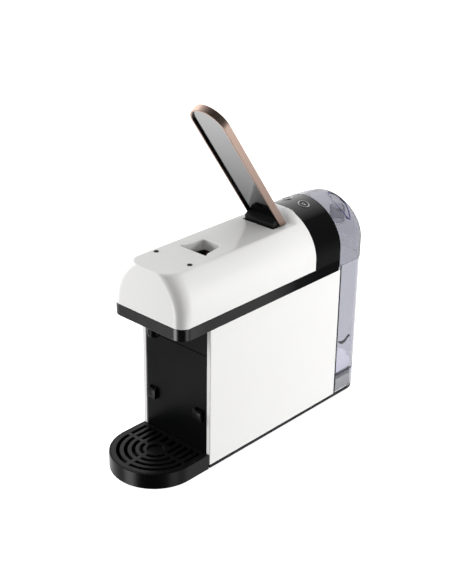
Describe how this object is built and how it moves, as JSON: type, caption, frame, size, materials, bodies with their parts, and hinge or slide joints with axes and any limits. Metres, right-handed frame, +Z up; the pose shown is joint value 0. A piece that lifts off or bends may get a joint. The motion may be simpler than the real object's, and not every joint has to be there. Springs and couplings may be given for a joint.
{
  "type": "pod coffee machine",
  "caption": "Slim pod coffee machine with a raised clamp lever, capsule slot, D-shaped drip tray, used-capsule bin and clear lift-off rear water tank.",
  "frame": {"origin": "centre of the bounding box at the bottom face, on the surface the machine stands on, with the lever raised", "axes": "+Z up, the cup bay and drip tray face -Y, the water tank is at +Y, +X is the machine's left-hand mirror plane normal towards the right side panel"},
  "size_m": [0.113, 0.3698, 0.416],
  "materials": {
    "white_casing": "fine satin gloss, injection moulded",
    "black_gloss": "gloss",
    "black_satin": "satin, fine moulded grain",
    "copper_trim": "brushed and anodised in a copper tone",
    "mirror_panel": "smoked mirror",
    "clear_tank": "clear, faint blue tint",
    "rubber": "matte",
    "steel": "fine brushed",
    "cast_alloy": "as cast",
    "brass": "satin",
    "silicone": "translucent satin",
    "red_seal": "satin",
    "board": "solder-masked board",
    "inner_plastic": "moulded, fibre filled",
    "natural_plastic": "natural nylon"
  },
  "bodies": {
    "root": {"base_plate": "black_satin", "foot_front_left": "rubber", "foot_front_right": "rubber", "foot_rear_left": "rubber", "foot_rear_right": "rubber", "base_screw_1": "steel", "base_screw_2": "steel", "base_screw_3": "steel", "base_screw_4": "steel", "side_panel_left": "white_casing", "side_panel_right": "white_casing", "cord_gland": "rubber", "chassis": "black_satin", "front_fascia": "black_satin", "head_trim": "black_gloss", "control_band": "black_gloss", "top_shell": "white_casing", "deck_pad_left": "rubber", "deck_pad_right": "rubber", "hinge_pin": "steel", "hinge_bracket": "inner_plastic", "brew_cup": "inner_plastic", "cup_seal": "red_seal", "outlet_funnel": "inner_plastic", "spout": "black_gloss", "button_ring_left": "steel", "button_ring_right": "steel", "button_spring_left": "steel", "button_spring_right": "steel", "control_board": "board", "pump": "cast_alloy", "pump_mount_lower": "rubber", "pump_mount_upper": "rubber", "flow_meter": "natural_plastic", "thermoblock": "cast_alloy", "thermostat": "brass", "main_board": "board", "hose_tank_to_meter": "silicone", "hose_pump_to_boiler": "silicone", "hose_boiler_to_cup": "silicone", "tank_dock": "natural_plastic", "dock_seal": "red_seal"},
    "lever": {"lever_frame": "copper_trim", "lever_cover": "black_gloss", "lever_mirror_panel": "mirror_panel", "lever_knuckle": "black_satin"},
    "press": {"press_plate": "inner_plastic", "tie_rod_left": "steel", "tie_rod_right": "steel"},
    "left_button": {"button_left": "black_gloss"},
    "right_button": {"button_right": "black_gloss"},
    "tank": {"tank_body": "clear_tank", "tank_valve": "natural_plastic"},
    "lid": {"tank_lid": "clear_tank"},
    "bin": {"capsule_bin": "black_satin"},
    "tray": {"drip_tray": "black_satin"},
    "grille": {"drip_grille": "black_satin"}
  },
  "joints": [
    {"name": "lever_hinge", "type": "hinge", "parent": "root", "child": "lever", "pos_m": [0, 0.0512, 0.252], "axis": [1, 0, 0], "range_deg": [0, 54.9]},
    {"name": "press_slide", "type": "slide", "parent": "root", "child": "press", "axis": [0, 1, 0], "range_m": [0, 0.0301]},
    {"name": "left_button_press", "type": "slide", "parent": "root", "child": "left_button", "axis": [0.2679, 0, -0.9635], "range_m": [0, 0.001], "stiffness_N_per_m": 600, "springref_m": -0.001, "deforming": ["button_spring_left"]},
    {"name": "right_button_press", "type": "slide", "parent": "root", "child": "right_button", "axis": [-0.2679, 0, -0.9635], "range_m": [0, 0.001], "stiffness_N_per_m": 600, "springref_m": -0.001, "deforming": ["button_spring_right"]},
    {"name": "tank_lift", "type": "slide", "parent": "root", "child": "tank", "axis": [0, 0, 1], "range_m": [0, 0.06]},
    {"name": "lid_lift", "type": "slide", "parent": "tank", "child": "lid", "axis": [0, 0, 1], "range_m": [0, 0.05]},
    {"name": "bin_slide", "type": "slide", "parent": "root", "child": "bin", "axis": [0, -1, 0], "range_m": [0, 0.1]},
    {"name": "tray_slide", "type": "slide", "parent": "bin", "child": "tray", "axis": [0, -1, 0], "range_m": [0, 0.05]},
    {"name": "grille_lift", "type": "slide", "parent": "tray", "child": "grille", "axis": [0, 0, 1], "range_m": [0, 0.03]}
  ],
  "couplings": [
    {"joint": "press_slide", "follows": "lever_hinge", "m_per_rad": 0.031309}
  ]
}
